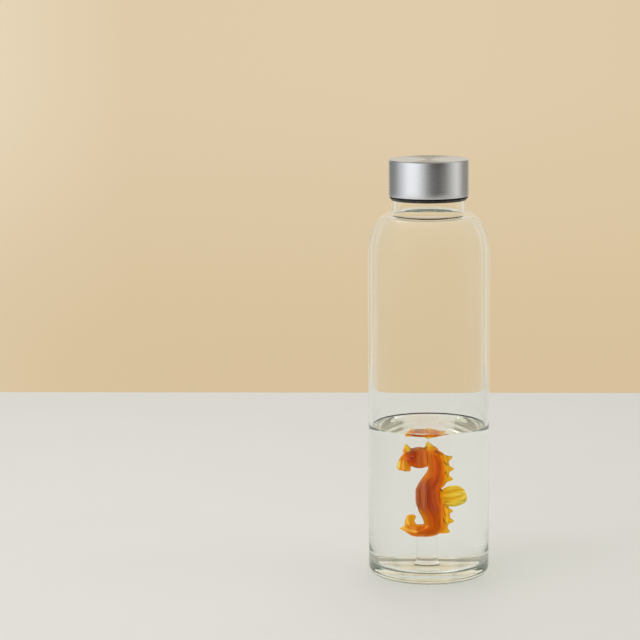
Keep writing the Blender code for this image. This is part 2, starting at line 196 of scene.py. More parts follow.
def clearMaterial(name, look):
    # clear all through, and open to the light on its way to what stands inside; the head-on mirror is
    # turned down, because glass and water lap over each other and would both count
    made, g = newMaterial(name)
    slow = g.noise(g.place(scale=(1, 1, 0.35)), 55.0, 2.0)
    clear = g.add("ShaderNodeBsdfPrincipled", BaseColor=linear(look["tint"]), Roughness=0.0,
                  IOR=look["ior"], TransmissionWeight=1.0, SpecularTint=(look["mirror"],) * 3 + (1.0,),
                  Normal=g.bump(slow, look["ripple"] * mm))
    lit = g.add("ShaderNodeBsdfTransparent", Color=linear(look["shadow"]))
    shadowRay = g.add("ShaderNodeLightPath").other("Is Shadow Ray")
    output = {"Surface": g.add("ShaderNodeMixShader", None, shadowRay, clear, lit)}
    if "depthColour" in look:
        output["Volume"] = g.add("ShaderNodeVolumeAbsorption", Color=linear(look["depthColour"]),
                                 Density=look["depthDensity"])
    g.add("ShaderNodeOutputMaterial", **output)
    return made


amberLook = {
    # thin glass: colour by how much of it the light crosses, as a share of deepest
    "deepest": 9.0, "sideShare": 1.2, "underShare": 0.4,
    "thin": (
        (0.00, (224, 204, 106)), (0.12, (222, 190, 60)), (0.27, (218, 160, 22)),
        (0.45, (214, 126, 8)), (0.68, (204, 96, 6)), (0.95, (184, 72, 8)),
    ),
    # the rod from its front (0) to its back (1): neck, trunk and tail
    "neck": (
        (0.00, (206, 122, 34)), (0.10, (200, 108, 22)), (0.20, (194, 96, 12)), (0.30, (186, 88, 10)),
        (0.38, (198, 92, 16)), (0.48, (200, 84, 22)), (0.58, (194, 78, 18)), (0.70, (180, 74, 4)),
        (0.80, (198, 88, 6)), (0.90, (210, 102, 6)), (1.00, (220, 126, 6)),
    ),
    "trunk": (
        (0.00, (174, 92, 58)), (0.12, (158, 80, 42)), (0.25, (158, 74, 34)), (0.45, (156, 60, 24)),
        (0.60, (160, 56, 18)), (0.75, (166, 66, 24)), (0.86, (190, 82, 16)), (0.95, (202, 90, 8)),
        (1.00, (208, 104, 6)),
    ),
    "tail": (
        (0.00, (190, 122, 26)), (0.10, (188, 112, 6)), (0.22, (192, 96, 2)), (0.36, (188, 78, 0)),
        (0.48, (180, 70, 2)), (0.63, (180, 76, 2)), (0.75, (188, 86, 0)), (0.86, (214, 116, 6)),
        (0.95, (224, 132, 14)), (1.00, (214, 130, 6)),
    ),
    # the head from x -10 (0) to its join with the neck (1)
    "head": (
        (0.00, (212, 132, 36)), (0.06, (200, 100, 18)), (0.14, (190, 82, 20)), (0.22, (172, 64, 10)),
        (0.32, (164, 56, 6)), (0.43, (152, 48, 0)), (0.54, (164, 64, 10)), (0.64, (184, 86, 36)),
        (0.75, (172, 82, 24)), (0.82, (178, 86, 22)), (0.89, (208, 106, 46)), (0.96, (204, 98, 34)),
        (1.00, (188, 92, 8)),
    ),
    # painted shade: the dark outline, glass that faces up painted browner, and dark creases where glass was
    # pulled away
    "rim": (156, 92, 18), "edgeOn": (128, 78, 62), "scorch": (104, 56, 6),
    "darkStreak": (180, 122, 84), "lightStreak": (236, 134, 20), "body": 0.55, "glow": 0.68,
}


def amberMaterial():
    made, g = newMaterial("amberGlass")
    look = amberLook

    def drawn(name, output="Fac"):
        return g.add("ShaderNodeAttribute", {"attribute_name": name}).other(output)

    flow = drawn("flow", "Vector")
    cloud = g.noise(g.place(), 260.0, 3.0)
    broad = g.noise(g.add("ShaderNodeMapping", Vector=flow, Scale=(0.05, 3.0, 0.25)), 1.0, 3.0, 0.6)
    streak = g.noise(g.add("ShaderNodeMapping", Vector=flow, Scale=(0.09, 9.0, 0.8)), 1.0, 3.0, 0.6)
    wander = (broad - 0.5) * 0.30 + (cloud - 0.5) * 0.12
    thin = g.ramp(look["thin"], drawn("glassDepth") / look["deepest"] + wander * 0.5)
    across = g.apart(flow).other("Y") * 0.5 + 0.5 + wander * 0.5
    zones = g.apart(drawn("zones", "Vector"))
    rod = g.ramp(look["trunk"], across)
    for share, part in ((zones.other("Y"), "neck"), (zones.other("Z"), "tail"), (zones, "head")):
        rod = g.blend(share, rod, g.ramp(look[part], across))
    colour = g.blend(drawn("core"), thin, rod)
    # stringers of other ambers, with a few painted highlights
    colour = g.blend(drawn("stringer", "Alpha"), colour, drawn("stringer", "Color"))
    colour = g.blend(g.fade(streak, 0.50, 0.64) * 0.55, colour, linear(look["darkStreak"]), "MULTIPLY")
    colour = g.blend(g.fade(streak, 0.46, 0.34) * 0.14, colour, linear(look["lightStreak"]))
    # painted shade: the dark outline, the browner glass that faces up and the dark creases
    for mark in ("rim", "edgeOn", "scorch"):
        colour = g.blend(drawn(mark), colour, linear(look[mark]))
    # painted glow: the emission stands in for light that comes through the glass from behind
    g.finish(BaseColor=g.times(colour, look["body"]), Roughness=0.06 + 0.10 * cloud, IOR=1.13,
             EmissionColor=colour, EmissionStrength=look["glow"],
             Normal=g.bump(g.noise(flow, 0.9, 2.0) + streak * 0.3, 0.05 * mm))
    return made


eyeLook = {"pupil": (118, 26, 4), "iris": (160, 48, 4), "ring": (200, 88, 44), "body": 0.55, "glow": 0.62}


def eyeMaterial(name, centre):
    made, g = newMaterial(name)
    x = g.apart(g.place([c * mm for c in centre], (1000, 1000, 1000)))
    z = x.other("Z")
    far = g.maths("SQRT", x * x + z * z)
    turn = g.maths("ARCTAN2", z, x)
    swirl = g.maths("SINE", turn * 2.0 + far * 5.0) * 0.5 + 0.5
    iris = g.blend(swirl * 0.7, linear(eyeLook["iris"]), linear(eyeLook["ring"]))
    colour = g.blend(g.fade(far, 0.72, 0.40), iris, linear(eyeLook["pupil"]))
    # painted glow: the emission stands in for light that comes through the eye's glass
    g.finish(BaseColor=g.times(colour, eyeLook["body"]), Roughness=0.05, IOR=1.2,
             EmissionColor=colour, EmissionStrength=eyeLook["glow"])
    return made


steelLook = {
    "light": (224, 225, 228), "dark": (212, 213, 216), "bow": (160, 158, 154), "roughness": 0.27,
    "fineLines": (30.0, 9000.0), "broadLines": (60.0, 2600.0), "grain": 0.0006,
}


def steelMaterial():
    # brushed in rings round the axis, on the side and on the top
    made, g = newMaterial("brushedSteel")
    x = g.apart(g.place())
    y, z = x.other("Y"), x.other("Z")
    out = g.maths("SQRT", x * x + y * y)
    ring = out + z

    def lines(along, across, detail, roughness=0.5):
        spread = g.add("ShaderNodeCombineXYZ", X=x * along, Y=y * along, Z=ring * across)
        return g.noise(spread, 1.0, detail, roughness)

    brush = lines(*steelLook["fineLines"], 3.0, 0.65)
    coarse = lines(*steelLook["broadLines"], 2.0)
    smear = g.noise(g.place(), 60.0, 3.0)
    colour = g.blend(g.clamp(brush * 0.6 + coarse * 0.5), linear(steelLook["dark"]),
                     linear(steelLook["light"]))
    # painted shade: the spun top is painted darker in two sectors, front and back, for the bow-tie light of
    # a spun finish
    top = capHigh.z * mm
    shadedSector = g.fade(g.maths("ABSOLUTE", x) / (out + 0.5 * mm), 0.75, 0.15)
    colour = g.blend(shadedSector * g.fade(z, top - 0.8 * mm, top - 0.4 * mm), colour, linear(steelLook["bow"]))
    g.finish(BaseColor=colour, Metallic=1.0,
             Roughness=steelLook["roughness"] + (brush - 0.5) * 0.03 + (smear - 0.5) * 0.03,
             Normal=g.bump(brush + coarse * 0.5, steelLook["grain"] * mm))
    return made


plasticLooks = {  # colour, roughness, depth of the grain
    "blackPlastic": ((22, 22, 23), 0.42, 0.02), "sealRubber": ((202, 200, 194), 0.55, 0.03),
}


def plasticMaterial(name):
    colour, roughness, grain = plasticLooks[name]
    made, g = newMaterial(name)
    fine = g.noise(g.place(), 2600.0, 2.0)
    broad = g.noise(g.place(), 90.0, 2.0)
    shade = g.blend(broad * 0.5, linear(colour), linear([min(255, c * 1.5 + 6) for c in colour]))
    g.finish(BaseColor=shade, Roughness=roughness + (fine - 0.5) * 0.15, Normal=g.bump(fine, grain * mm))
    return made


# turned pieces: one node tree spins a profile round Z and can raise a screw thread on it
def arc(x, z, rx, rz, start, end, steps):
    turns = [radians(start + (end - start) * i / steps) for i in range(steps + 1)]
    return [(x + rx * cos(a), z + rz * sin(a)) for a in turns]


def fine(points, step):  # the same line with points at most a step apart
    found = [points[0]]
    for a, b in zip(points, points[1:]):
        count = max(1, int(np.hypot(b[0] - a[0], b[1] - a[1]) / step))
        found += [(a[0] + (b[0] - a[0]) * i / count, a[1] + (b[1] - a[1]) * i / count)
                  for i in range(1, count + 1)]
    return found


def newTree(name, inputs, output):
    tree = bpy.data.node_groups.new(name, "GeometryNodeTree")
    for label, kind in inputs:
        tree.interface.new_socket(label, in_out="INPUT", socket_type="NodeSocket" + kind)
    tree.interface.new_socket(output, in_out="OUTPUT", socket_type="NodeSocketGeometry")
    g = Graph(tree)
    return g, g.add("NodeGroupInput")


def finishTree(g, given, geometry, output):
    real = g.add("GeometryNodeRealizeInstances", Geometry=geometry)
    done = g.add("GeometryNodeSetMaterial", Geometry=real, Material=given.other("Finish"))
    g.add("NodeGroupOutput", **{output: done})
    return g.tree


def makeLatheTree():
    floats = ("Thread Depth", "Thread Start", "Thread Pitch", "Thread Turns", "Thread Radius")
    inputs = [("Profile", "Geometry"), ("Segments", "Int"), ("Finish", "Material")]
    g, given = newTree("turnedPiece", inputs + [(name, "Float") for name in floats], "Piece")
    count = g.add("GeometryNodeAttributeDomainSize", {"component": "MESH"}, Geometry=given.other("Profile"))
    grid = g.add("GeometryNodeMeshGrid", SizeX=1.0, SizeY=1.0, VerticesX=given.other("Segments") + 1.0,
                 VerticesY=count)
    here = g.add("GeometryNodeInputPosition")
    onGrid = g.apart(here)
    turn = onGrid + 0.5
    row = g.maths("ROUND", (onGrid.other("Y") + 0.5) * (count - 1.0))
    spot = g.add("GeometryNodeSampleIndex", {"data_type": "FLOAT_VECTOR", "domain": "POINT"},
                 Geometry=given.other("Profile"), Value=here, Index=row)
    radius = g.apart(spot)
    height = radius.other("Z")
    # the thread: how far this point is from the nearest turn of the helix
    climb = (height - given.other("Thread Start")) / given.other("Thread Pitch") - turn
    nearest = g.maths("ROUND", climb)
    away = g.maths("ABSOLUTE", climb - nearest)
    along = nearest + turn
    ridge = g.fade(away, 0.24, 0.07)
    runIn = g.fade(along, 0.0, 0.12)
    runOut = g.fade(along, given.other("Thread Turns"), given.other("Thread Turns") - 0.12)
    outside = g.maths("GREATER_THAN", radius, given.other("Thread Radius"))
    far = radius + given.other("Thread Depth") * ridge * runIn * runOut * outside
    angle = turn * tau
    point = g.add("ShaderNodeCombineXYZ", X=far * g.maths("COSINE", angle), Y=far * g.maths("SINE", angle),
                  Z=height)
    spun = g.add("GeometryNodeSetPosition", Geometry=grid, Position=point)
    closed = g.add("GeometryNodeMergeByDistance", Geometry=spun, Distance=1e-7)
    smooth = g.add("GeometryNodeSetShadeSmooth", Geometry=closed)
    return finishTree(g, given, smooth, "Piece")


def setInputs(modifier, values):
    for item in modifier.node_group.interface.items_tree:
        if item.item_type == "SOCKET" and item.in_out == "INPUT" and item.name in values:
            modifier[item.identifier] = values[item.name]


def plainMesh(obj, name):  # what the modifiers make, as a mesh of its own on a new object
    bpy.context.view_layer.update()
    mesh = bpy.data.meshes.new_from_object(obj.evaluated_get(bpy.context.evaluated_depsgraph_get()))
    bpy.data.objects.remove(obj, do_unlink=True)
    mesh.name = name
    return newObject(name, mesh)


latheTree = makeLatheTree()


def turned(name, profile, segments, finish, thread=None, centre=(0, 0)):
    # the profile is (radius, height) from the axis underneath, round the outside, back to the axis
    mesh = bpy.data.meshes.new(name)
    mesh.from_pydata([(r * mm, 0, z * mm) for r, z in profile], [], [])
    obj = newObject(name + "Profile", mesh)
    modifier = obj.modifiers.new("turned", "NODES")
    modifier.node_group = latheTree
    values = {"Segments": segments, "Finish": finish, "Thread Pitch": 1.0}
    for key, value in (thread or {}).items():
        values[key] = value if key == "Thread Turns" else value * mm
    setInputs(modifier, values)
    made = plainMesh(obj, name)
    made.data.transform(Matrix.Translation((centre[0] * mm, centre[1] * mm, 0)))
    return made


# the bottle
bottleLow, bottleHigh = boxOf("bottle_glass")
bottleSizes = {
    "radius": (bottleHigh.x - bottleLow.x) / 2, "rim": bottleHigh.z, "wall": 2.0, "floor": 5.5,
    "pushUp": 0.8, "pushUpEnd": 16.6, "pushUpRound": 3.0, "footRing": 20.6, "footRound": 1.4, "heel": 4.5,
    "innerHeel": 6.0, "shoulderStart": 174.0, "shoulderTop": 196.6, "neckFillet": 2.6, "collar": 19.75,
    "collarTop": 204.2, "collarEdge": 0.6, "finish": 17.9, "mouth": 15.6, "mouthEnd": 210.0,
    "mouthFlare": 4.4, "lip": 0.9, "segments": 144,
}
threadSizes = {"Thread Depth": 0.8, "Thread Start": 206.5, "Thread Pitch": 5.0, "Thread Turns": 1.6,
               "Thread Radius": 17.6}


def shoulderArc(s, inset, fillet):
    # up from the side wall over the shoulder, then round a fillet into the neck's upright wall
    rx, rz = s["radius"] - s["collar"] - inset, s["shoulderTop"] - s["shoulderStart"] - inset
    low, high = 0.5, pi / 2
    for _ in range(40):  # finds where the fillet touches both
        turn = (low + high) / 2
        out = np.array((cos(turn) / rx, sin(turn) / rz))
        out /= np.hypot(*out)
        touch = np.array((s["collar"] + rx * cos(turn), s["shoulderStart"] + rz * sin(turn)))
        centre = touch + fillet * out
        if centre[0] - fillet > s["collar"] - inset:
            low = turn
        else:
            high = turn
    start = 180 + np.degrees(np.arctan2(out[1], out[0]))
    shoulder = arc(s["collar"], s["shoulderStart"], rx, rz, 0, np.degrees(turn), 44)
    return shoulder + arc(*centre, fillet, fillet, start, 180, 10)[1:]


def innerWall(s):  # the inside of the glass, from the mouth down to the middle of the floor
    inner = s["radius"] - s["wall"]
    narrow = np.linspace(0.0, 1.0, 12)
    swell = (s["collar"] - s["wall"] - s["mouth"]) * narrow ** 2 * (3 - 2 * narrow)
    shoulder = [(s["mouth"] + out, s["mouthEnd"] - s["mouthFlare"] * t) for t, out in zip(narrow, swell)]
    shoulder += shoulderArc(s, s["wall"], s["neckFillet"] + s["wall"])[::-1]
    heel = s["innerHeel"]
    return shoulder, arc(inner - heel, s["floor"] + heel, heel, heel, 0, -90, 14)


def makeBottle():
    s = bottleSizes
    blend, roll, edge, lip = s["pushUpRound"], s["footRound"], s["collarEdge"], s["lip"]
    foot = [(0.0, s["pushUp"])]
    foot += arc(s["pushUpEnd"], s["pushUp"] - blend, blend, blend, 90, 60, 4)
    foot += arc(s["footRing"], roll, roll, roll, 215, 270, 6)
    heel = arc(s["radius"] - s["heel"], s["heel"], s["heel"], s["heel"], -90, 0, 22)
    shoulder = shoulderArc(s, 0.0, s["neckFillet"])
    collar = arc(s["collar"] - edge, s["collarTop"] - edge, edge, edge, 0, 90, 6)
    neck = [(s["finish"] + 0.5, s["collarTop"]), (s["finish"] + 0.1, s["collarTop"] + 0.4)]
    finish = fine([(s["finish"], s["collarTop"] + 1.0), (s["finish"], s["rim"] - lip)], 0.3)
    rim = arc(s["finish"] - lip, s["rim"] - lip, lip, lip, 0, 90, 6)[1:]
    rim += arc(s["mouth"] + lip, s["rim"] - lip, lip, lip, 90, 180, 6)
    innerShoulder, innerHeel = innerWall(s)
    profile = foot + heel + shoulder + collar + neck + finish + rim
    profile += innerShoulder + innerHeel + [(8.0, s["floor"]), (0.0, s["floor"])]
    profile = fine(profile, 4.0)
    bottle = turned("bottleGlass", profile, s["segments"], clearMaterial("clearGlass", glassLook),
                    threadSizes)
    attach(bottle, "bottle")
    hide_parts("bottle_glass")
    tell("bottle", bottle)


# the water, which reaches a hair into the glass so that no air shows between them
waterSizes = {"level": 81.2, "into": 0.08, "meniscus": 0.9, "reach": 2.4}


def makeWater():
    s = dict(bottleSizes, wall=bottleSizes["wall"] - waterSizes["into"],
             floor=bottleSizes["floor"] - waterSizes["into"])
    level, rise, reach = (waterSizes[key] for key in ("level", "meniscus", "reach"))
    _, heel = innerWall(s)
    inner = s["radius"] - s["wall"]
    side = [(inner, z) for z in np.linspace(heel[0][1], level + rise, 30)]
    top = [(r, level + rise * np.exp((r - inner) / reach))
           for r in inner * (1 - np.linspace(0.0, 1.0, 60)[1:] ** 2)]
    profile = [(0.0, s["floor"])] + heel[::-1] + side[1:] + top
    water = turned("water", profile, s["segments"], clearMaterial("clearWater", waterLook))
    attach(water, "bottle")
    tell("water", water)


# the clear post under the figure, fused to the floor
postLow, postHigh = boxOf("glass_post")
postSizes = {"x": (postLow.x + postHigh.x) / 2, "radius": 4.4, "flare": 1.2, "flareHeight": 2.4,
             "flareEase": 2.2, "waist": 0.35, "top": 24.6, "into": 0.05}


def makePost():
    s = postSizes
    bottom = bottleSizes["floor"] - s["into"]
    profile = [(0.0, bottom)]
    profile += [(s["radius"] + s["flare"] * (1 - t) ** s["flareEase"], bottom + s["flareHeight"] * t)
                for t in np.linspace(0, 1, 12)]
    start, reach = bottom + s["flareHeight"], s["top"] - bottom - s["flareHeight"]
    profile += [(s["radius"] - s["waist"] * sin(pi * t), start + reach * t)
                for t in np.linspace(0, 1, 20)[1:]]
    profile.append((0.0, s["top"]))
    post = turned("postGlass", profile, 72, clearMaterial("postGlass", postLook), centre=(s["x"], 0))
    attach(post, "bottle")
    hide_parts("glass_post")
    tell("post", post)


# the cap: steel shell, black insert and sealing disc
capLow, capHigh = boxOf("cap_shell")
insertLow, insertHigh = boxOf("cap_insert")
sealLow, sealHigh = boxOf("cap_seal")
capSizes = {"radius": (capHigh.x - capLow.x) / 2, "wall": 0.8, "edge": 1.0, "dish": 0.25,
            "insertBore": 19.0, "ceiling": 1.2, "gap": 0.3, "insertEdge": 0.6, "flangeEdge": (0.9, 0.5),
            "sealRing": 4.0, "sealStep": 0.25, "sealEdge": 0.3, "segments": 160}


def makeCap():
    s = capSizes
    wall, edge, dish = s["wall"], s["edge"], s["dish"]
    inner = s["radius"] - wall
    under = capHigh.z - wall
    shell = [(0.0, under), (inner - 1.0, under)]
    shell += arc(inner - 1.0, under - 1.0, 1.0, 1.0, 90, 0, 6)[1:]
    shell += arc(s["radius"] - wall / 2, capLow.z + 0.4, wall / 2, 0.4, 180, 360, 8)
    shell += arc(s["radius"] - edge, capHigh.z - edge, edge, edge, 0, 90, 10)
    shell += arc(s["radius"] - edge - 1.4, capHigh.z + 4.0, 4.0, 4.0 + dish, -70, -90, 6)[1:]
    shell.append((0.0, capHigh.z - dish))
    cap = turned("capShell", fine(shell, 3.0), s["segments"], steelMaterial())
    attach(cap, "cap")
    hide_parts("cap_shell")

    outer = (insertHigh.x - insertLow.x) / 2
    low, high = insertLow.z, insertHigh.z
    flange = capLow.z - s["gap"]
    sleeve = inner - s["gap"]
    bore, ceiling = s["insertBore"], high - s["ceiling"]
    profile = [(0.0, ceiling), (bore, ceiling), (bore, low + 0.3), (bore + 0.3, low), (outer - 1.0, low)]
    wide, tall = s["flangeEdge"]
    profile += arc(outer - wide, flange - tall, wide, tall, -60, 60, 6)
    profile += [(sleeve, flange), (sleeve, high - 0.8)]
    edge = s["insertEdge"]
    profile += arc(sleeve - edge, high - edge, edge, edge, 0, 90, 4)
    profile.append((0.0, high))
    insert = turned("capInsert", fine(profile, 3.0), s["segments"], plasticMaterial("blackPlastic"))
    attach(insert, "cap")
    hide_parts("cap_insert")

    radius = (sealHigh.x - sealLow.x) / 2
    low, high = sealLow.z, sealHigh.z
    ring, step, edge = s["sealRing"], s["sealStep"], s["sealEdge"]
    profile = [(0.0, low + step), (radius - ring - 0.2, low + step), (radius - ring, low)]
    profile += arc(radius - edge, low + edge, edge, edge, -90, 0, 4)
    profile += arc(radius - edge, high - edge, edge, edge, 0, 90, 4) + [(0.0, high)]
    seal = turned("capSeal", fine(profile, 3.0), 96, plasticMaterial("sealRubber"))
    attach(seal, "cap")
    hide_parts("cap_seal")
    tell("cap", cap, insert, seal)


# the seahorse: rods, drops and drawn points of glass melted into one skin
figure = {
    # the main rod, crown to tail tip: x, z, half width in XZ, half depth in Y
    "body": (
        (1.5, 69.3, 1.8, 1.9), (1.9, 67.2, 2.7, 2.7), (2.55, 64.4, 3.15, 3.1), (2.95, 61.0, 3.2, 3.2),
        (2.95, 57.6, 3.5, 3.4), (2.2, 54.0, 4.2, 3.8), (0.8, 50.8, 4.45, 4.1), (-0.2, 47.6, 4.8, 4.3),
        (-0.2, 44.2, 4.95, 4.4), (0.0, 40.8, 5.05, 4.3), (0.8, 37.2, 5.2, 4.2), (1.75, 33.8, 4.9, 4.0),
        (2.35, 30.4, 4.5, 3.8), (2.4, 27.1, 4.25, 3.7), (0.2, 25.1, 3.55, 3.4), (-2.9, 24.85, 3.4, 3.2),
        (-5.8, 24.8, 3.15, 2.8), (-7.2, 27.4, 2.45, 2.2), (-7.65, 29.5, 2.05, 1.8), (-7.4, 31.2, 1.85, 1.7),
        (-7.1, 31.95, 1.75, 1.6), (-6.6, 32.1, 1.5, 1.45),
    ),
    "skull": (-3.8, 64.95, 5.4, 3.7, 5.85),  # x, z, half sizes in X, Y and Z
    "snout": (
        (-6.6, 65.4, 4.0, 3.3), (-8.6, 63.8, 3.1, 2.7), (-9.65, 62.1, 2.7, 2.2),
        (-10.1, 60.6, 2.7, 2.05), (-10.2, 59.1, 3.0, 2.15), (-10.4, 58.0, 3.1, 2.3),
    ),
    "mouth": (-13.5, 56.7, 2.35, 1.8),  # the hollow at the snout's end: x, z, half size in XZ and in Y
    "neckCrest": (
        (2.6, 68.4, 1.1, 1.1), (4.7, 66.1, 1.7, 1.2), (6.0, 63.0, 1.95, 1.3), (6.4, 60.0, 1.95, 1.3),
        (6.4, 56.8, 1.95, 1.3), (5.8, 53.0, 1.9, 1.3), (4.7, 49.6, 1.5, 1.2),
    ),
    "tailCrest": (
        (4.7, 46.4, 1.3, 1.1), (5.1, 42.0, 1.6, 1.2), (6.1, 38.0, 1.85, 1.3),
        (6.65, 34.0, 1.85, 1.3), (6.6, 29.8, 1.85, 1.3), (5.4, 26.0, 1.7, 1.2),
    ),
    # drawn points: base x, z, tip x, z, half width at the base, bend
    "points": (
        (1.3, 68.6, -0.4, 73.7, 2.7, 0.06), (-8.3, 68.1, -9.2, 72.0, 2.1, 0.0),
        (-6.1, 24.7, -11.6, 25.7, 2.9, -0.05), (5.8, 64.2, 9.4, 65.4, 2.5, -0.07),
        (6.2, 59.2, 10.1, 58.65, 2.7, -0.07), (6.0, 53.8, 9.8, 53.2, 2.8, -0.07),
        (6.0, 36.2, 9.8, 35.5, 2.4, -0.07), (6.3, 30.8, 10.2, 30.0, 2.7, -0.07),
        (5.2, 26.0, 8.4, 23.9, 2.9, -0.07),
    ),
    "tip": 0.35, "pointDepth": 1.3,  # half sizes of a drawn point, at its end and at most in Y
    "taper": ((0, 1), (0.15, 0.94), (0.3, 0.83), (0.45, 0.67), (0.6, 0.5), (0.8, 0.28), (1, 0)),
    "voxel": 0.24, "meltRounds": 8, "smoothRounds": 8, "fill": 0.6, "relax": 0.50, "restore": 0.52,
    "depthRounds": 6,
}
fin = {
    "stations": (
        (3.4, 43.4, 3.2, 1.35), (5.6, 43.3, 4.4, 1.3), (7.6, 43.4, 5.4, 1.2), (9.9, 43.7, 5.8, 1.1),
        (12.0, 44.25, 5.45, 0.95), (13.5, 44.7, 4.8, 0.8), (14.4, 45.0, 3.5, 0.6),
    ),
    "grooves": (0.50, -0.20), "grooveWidth": 0.13, "grooveDepth": 0.42,
    "grooveColour": (204, 148, 2), "edgeColour": (196, 180, 52),
    # fades from the first value to the second: in x, and for the edge by place across the fin
    "grooveEnd": (15.5, 12.5), "edge": (-0.62, -0.86), "root": (9.5, 4.5), "middle": (14.0, 8.0),
}
belly = {
    "ribs": 9, "top": 48.0, "bottom": 38.6, "half": (1.15, 2.6, 0.55), "pitch": 1.2, "relief": 0.2,
    # the small rings fade in from the first value to the second: in z, across the rod and in y
    "fromBelow": (38.0, 39.0), "fromAbove": (48.5, 47.7), "across": (-0.50, -0.82), "deep": (3.2, 1.6),
}
# where each zone of colour fades in, from its first value to its second
zoneFades = {
    "headX": (-0.3, -0.8), "headZ": (57.0, 58.5), "neckZ": (49.0, 56.5), "tailZ": (38.5, 32.0),
    "rodSide": (1.12, 0.96), "tailTip": (3.0, 12.0), "crown": (69.5, 66.0),
    "snoutEnd": (-10.6, -8.6), "chin": (50.5, 54.0), "brow": (68.6, 66.9),
    "rim": (0.45, 0.10), "facesUp": (0.35, 0.85), "facesUpZ": (58.0, 62.0),
}
headSpan = (-10.0, -0.6)  # x at the front and back of the head, across which its colours run
# painted shade: short dark lines in the creases where a point or the fin was pulled from the body: x, z, x,
# z, half width, strength
creaseShadeLines = (
    (2.8, 68.8, 3.4, 68.1, 0.46, 0.95), (3.4, 68.1, 5.8, 66.6, 0.28, 0.75),
    (6.1, 62.9, 7.4, 61.2, 0.46, 0.85), (6.8, 57.3, 6.9, 56.2, 0.38, 0.8),
    (4.7, 47.9, 5.3, 46.8, 0.55, 0.95), (6.1, 39.7, 7.5, 37.5, 0.30, 0.8),
    (6.3, 34.7, 7.3, 33.2, 0.30, 0.6), (5.9, 31.6, 7.3, 28.2, 0.36, 0.85),
    (-9.4, 66.6, -8.9, 67.3, 0.42, 0.85), (-8.9, 67.3, -6.2, 68.8, 0.32, 0.75),
    (-7.2, 69.7, -6.0, 69.6, 0.26, 0.6), (-4.8, 69.2, -3.4, 69.7, 0.30, 0.6),
    (-3.4, 69.7, -1.1, 70.4, 0.26, 0.6), (-1.6, 70.4, -1.0, 70.6, 0.42, 0.85),
    (-0.5, 68.5, -0.5, 62.2, 0.24, 0.5), (-10.3, 58.0, -9.4, 57.6, 0.36, 0.8),
    (-10.9, 64.9, -10.5, 64.0, 0.30, 0.55), (-4.6, 39.4, -3.4, 37.0, 0.30, 0.8),
)
